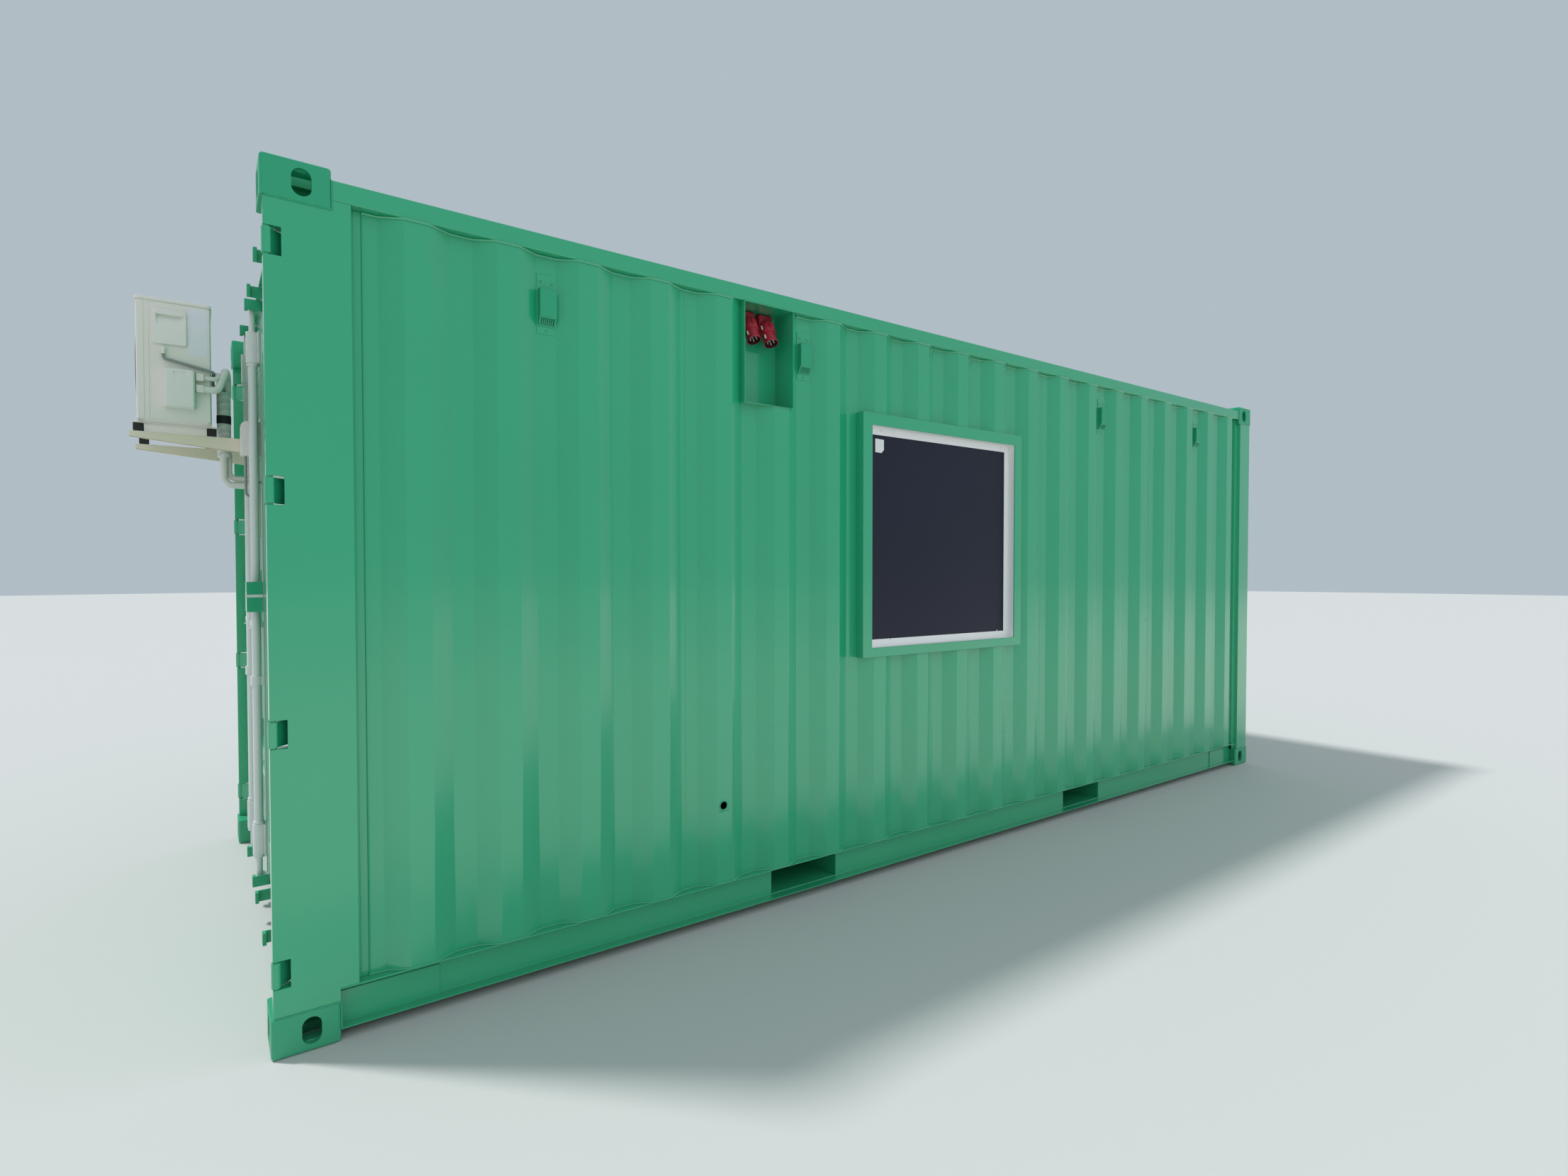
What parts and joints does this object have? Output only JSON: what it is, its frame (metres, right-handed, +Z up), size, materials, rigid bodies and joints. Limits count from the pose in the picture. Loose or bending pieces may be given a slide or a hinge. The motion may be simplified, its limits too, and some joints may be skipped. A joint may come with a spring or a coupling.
{
  "type": "site cabin container",
  "caption": "Green twenty-foot steel shipping container made into a site cabin, with a window, an outdoor air conditioner and one door that swings on its hinges",
  "frame": {"origin": "centre of the footprint, on the level the four bottom corner fittings stand on", "axes": "X along the length from the door end to the rear, Y from the window side to the back, Z up"},
  "size_m": [6.427, 2.445, 2.591],
  "materials": {
    "green_paint": "satin",
    "zinc": "satin",
    "plywood": "matte",
    "dark_board": "matte",
    "white_trim": "satin",
    "red_plastic": "gloss",
    "cooler_white": "satin",
    "grey_plastic": "matte",
    "black_rubber": "matte",
    "pipe_lagging": "matte",
    "pale_seal": "matte"
  },
  "bodies": {
    "shell": {"back_wall": "green_paint", "bottom_corner_fittings": "green_paint", "bottom_rail_back": "green_paint", "bottom_rail_front": "green_paint", "cooler_arms": "cooler_white", "cooler_case": "cooler_white", "cooler_covers": "cooler_white", "cooler_fan": "grey_plastic", "cooler_fan_guard": "grey_plastic", "cooler_feet": "black_rubber", "cooler_pipes": "pipe_lagging", "cowl_cable": "black_rubber", "cross_members": "green_paint", "door_header": "green_paint", "door_post_left": "green_paint", "door_post_right": "green_paint", "door_sill": "green_paint", "floor": "plywood", "fork_pockets": "green_paint", "front_wall": "green_paint", "handle_rests": "zinc", "inlet_recess": "green_paint", "keepers": "green_paint", "left_door_frame": "green_paint", "left_door_hinges": "green_paint", "left_door_panel": "green_paint", "left_door_seal": "pale_seal", "lock_bar": "zinc", "lock_box": "green_paint", "pipe_cowl": "cooler_white", "power_inlets": "red_plastic", "rear_posts": "green_paint", "rear_rails": "green_paint", "rear_wall": "green_paint", "rod_sleeves": "zinc", "roof": "green_paint", "roof_end_plates": "green_paint", "supply_cable": "black_rubber", "top_corner_fittings": "green_paint", "top_rails": "green_paint", "vents": "green_paint", "window_frame": "green_paint", "window_pane": "dark_board", "window_trim": "white_trim"},
    "right_door": {"right_door_frame": "green_paint", "right_door_panel": "green_paint", "right_door_hinges": "green_paint", "right_door_seal": "pale_seal"},
    "inner_rod": {"inner_lock_rod": "zinc"},
    "outer_rod": {"outer_lock_rod": "zinc"},
    "inner_handle_body": {"inner_handle": "zinc"},
    "outer_handle_body": {"outer_handle": "zinc"}
  },
  "joints": [
    {"name": "right_door_swing", "type": "hinge", "parent": "shell", "child": "right_door", "pos_m": [-3.013, -1.203, 1.295], "axis": [0, 0, 1], "range_deg": [0, 270]},
    {"name": "inner_rod_turn", "type": "hinge", "parent": "shell", "child": "inner_rod", "pos_m": [-2.986, 0.13, 1.17], "axis": [0, 0, 1], "range_deg": [0, 100]},
    {"name": "outer_rod_turn", "type": "hinge", "parent": "shell", "child": "outer_rod", "pos_m": [-2.986, 0.572, 1.17], "axis": [0, 0, 1], "range_deg": [0, 100]},
    {"name": "inner_handle_lift", "type": "hinge", "parent": "inner_rod", "child": "inner_handle_body", "pos_m": [-2.986, 0.166, 1.17], "axis": [1, 0, 0], "range_deg": [0, 30]},
    {"name": "outer_handle_lift", "type": "hinge", "parent": "outer_rod", "child": "outer_handle_body", "pos_m": [-2.986, 0.608, 1.17], "axis": [1, 0, 0], "range_deg": [0, 30]}
  ]
}
